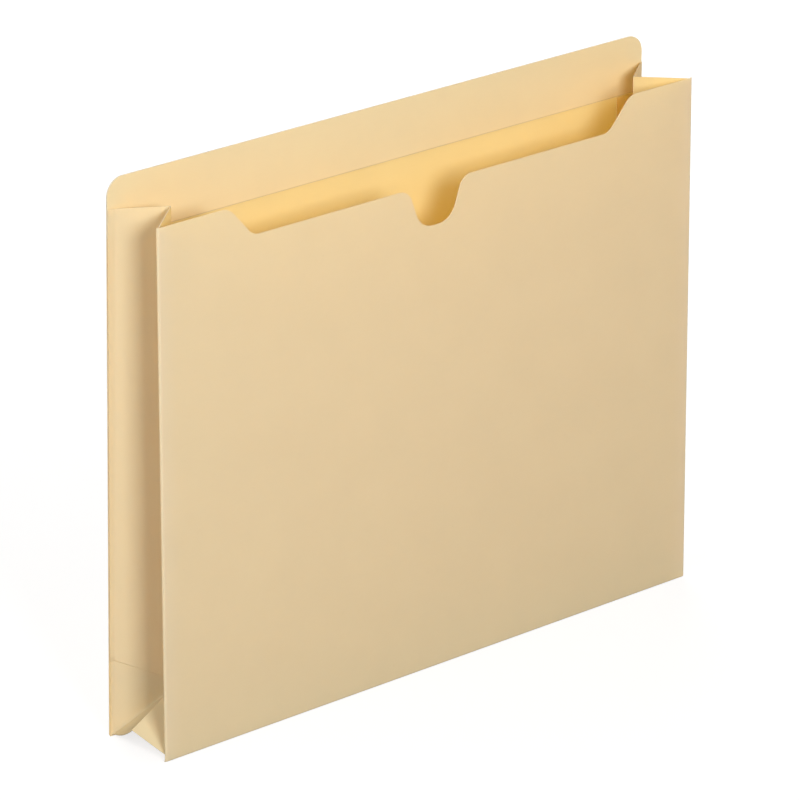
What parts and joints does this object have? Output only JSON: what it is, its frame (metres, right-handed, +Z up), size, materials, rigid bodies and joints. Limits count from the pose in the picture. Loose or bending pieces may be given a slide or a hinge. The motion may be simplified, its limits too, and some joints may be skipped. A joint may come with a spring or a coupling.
{
  "type": "expanding file pocket",
  "caption": "Letter-size manila file pocket with a full-width reinforced tab, a cut-away front with a thumb notch, and folded side and bottom gussets that open out or close flat.",
  "frame": {"origin": "centre of the footprint on the surface that the pocket stands on, half open", "axes": "+X to the right along the panels, +Y towards the back panel with the tab, +Z up"},
  "size_m": [0.2984, 0.0362, 0.2413],
  "materials": {
    "manila_outer": "uncoated manila tag stock, matte, faint fibres",
    "manila_inner": "uncoated manila tag stock, matte, slightly warmer inside",
    "manila_gusset": "uncoated manila tag stock, matte, creased along its folds"
  },
  "bodies": {
    "back": {"back_panel": "manila_outer", "tab_ply": "manila_inner", "left_glue_lap": "manila_inner", "right_glue_lap": "manila_inner"},
    "bottom_back": {"bottom_gusset_back": "manila_gusset"},
    "bottom_front": {"bottom_gusset_front": "manila_gusset"},
    "front": {"front_panel": "manila_outer"},
    "left_back": {"left_gusset_back": "manila_gusset"},
    "left_front": {"left_gusset_front": "manila_gusset"},
    "left_web_back": {"left_corner_web_back": "manila_gusset"},
    "left_web_front": {"left_corner_web_front": "manila_gusset"},
    "right_back": {"right_gusset_back": "manila_gusset"},
    "right_front": {"right_gusset_front": "manila_gusset"},
    "right_web_back": {"right_corner_web_back": "manila_gusset"},
    "right_web_front": {"right_corner_web_front": "manila_gusset"}
  },
  "joints": [
    {"name": "expansion", "type": "hinge", "parent": "back", "child": "bottom_back", "pos_m": [0, 0.01724, 0.0004], "axis": [1, 0, 0], "range_deg": [-36, 35]},
    {"name": "bottom_ridge", "type": "hinge", "parent": "bottom_back", "child": "bottom_front", "pos_m": [0, -0.00029, 0.01879], "axis": [1, 0, 0], "range_deg": [-70, 72]},
    {"name": "front_fold", "type": "hinge", "parent": "bottom_front", "child": "front", "pos_m": [0, -0.01782, 0.0004], "axis": [1, 0, 0], "range_deg": [-36, 35]},
    {"name": "left_back_fold", "type": "hinge", "parent": "back", "child": "left_back", "pos_m": [-0.14763, 0.01724, 0.1143], "axis": [0, 0, -1], "range_deg": [-36, 35]},
    {"name": "left_crease", "type": "hinge", "parent": "left_back", "child": "left_front", "pos_m": [-0.12924, -0.00029, 0.1143], "axis": [0, 0, -1], "range_deg": [-70, 72]},
    {"name": "left_web_back_fold", "type": "hinge", "parent": "left_back", "child": "left_web_back", "pos_m": [-0.14782, 0.01703, 0.0064], "axis": [-0.5171, 0.4822, -0.7071], "range_deg": [-64.75, 66.6]},
    {"name": "left_web_front_fold", "type": "hinge", "parent": "left_front", "child": "left_web_front", "pos_m": [-0.14782, -0.01761, 0.0064], "axis": [0.5171, 0.4822, 0.7071], "range_deg": [-64.75, 66.6]},
    {"name": "right_back_fold", "type": "hinge", "parent": "back", "child": "right_back", "pos_m": [0.14763, 0.01724, 0.1143], "axis": [0, 0, 1], "range_deg": [-36, 35]},
    {"name": "right_crease", "type": "hinge", "parent": "right_back", "child": "right_front", "pos_m": [0.12924, -0.00029, 0.1143], "axis": [0, 0, 1], "range_deg": [-70, 72]},
    {"name": "right_web_back_fold", "type": "hinge", "parent": "right_back", "child": "right_web_back", "pos_m": [0.14782, 0.01703, 0.0064], "axis": [-0.5171, -0.4822, 0.7071], "range_deg": [-64.75, 66.6]},
    {"name": "right_web_front_fold", "type": "hinge", "parent": "right_front", "child": "right_web_front", "pos_m": [0.14782, -0.01761, 0.0064], "axis": [0.5171, -0.4822, -0.7071], "range_deg": [-64.75, 66.6]}
  ],
  "couplings": [
    {"joint": "bottom_ridge", "follows": "expansion", "ratio": -2},
    {"joint": "front_fold", "follows": "expansion", "ratio": 1},
    {"joint": "left_back_fold", "follows": "expansion", "ratio": 1},
    {"joint": "left_crease", "follows": "expansion", "ratio": -2},
    {"joint": "left_web_back_fold", "follows": "expansion", "ratio": -1.85},
    {"joint": "left_web_front_fold", "follows": "expansion", "ratio": -1.85},
    {"joint": "right_back_fold", "follows": "expansion", "ratio": 1},
    {"joint": "right_crease", "follows": "expansion", "ratio": -2},
    {"joint": "right_web_back_fold", "follows": "expansion", "ratio": -1.85},
    {"joint": "right_web_front_fold", "follows": "expansion", "ratio": -1.85}
  ]
}
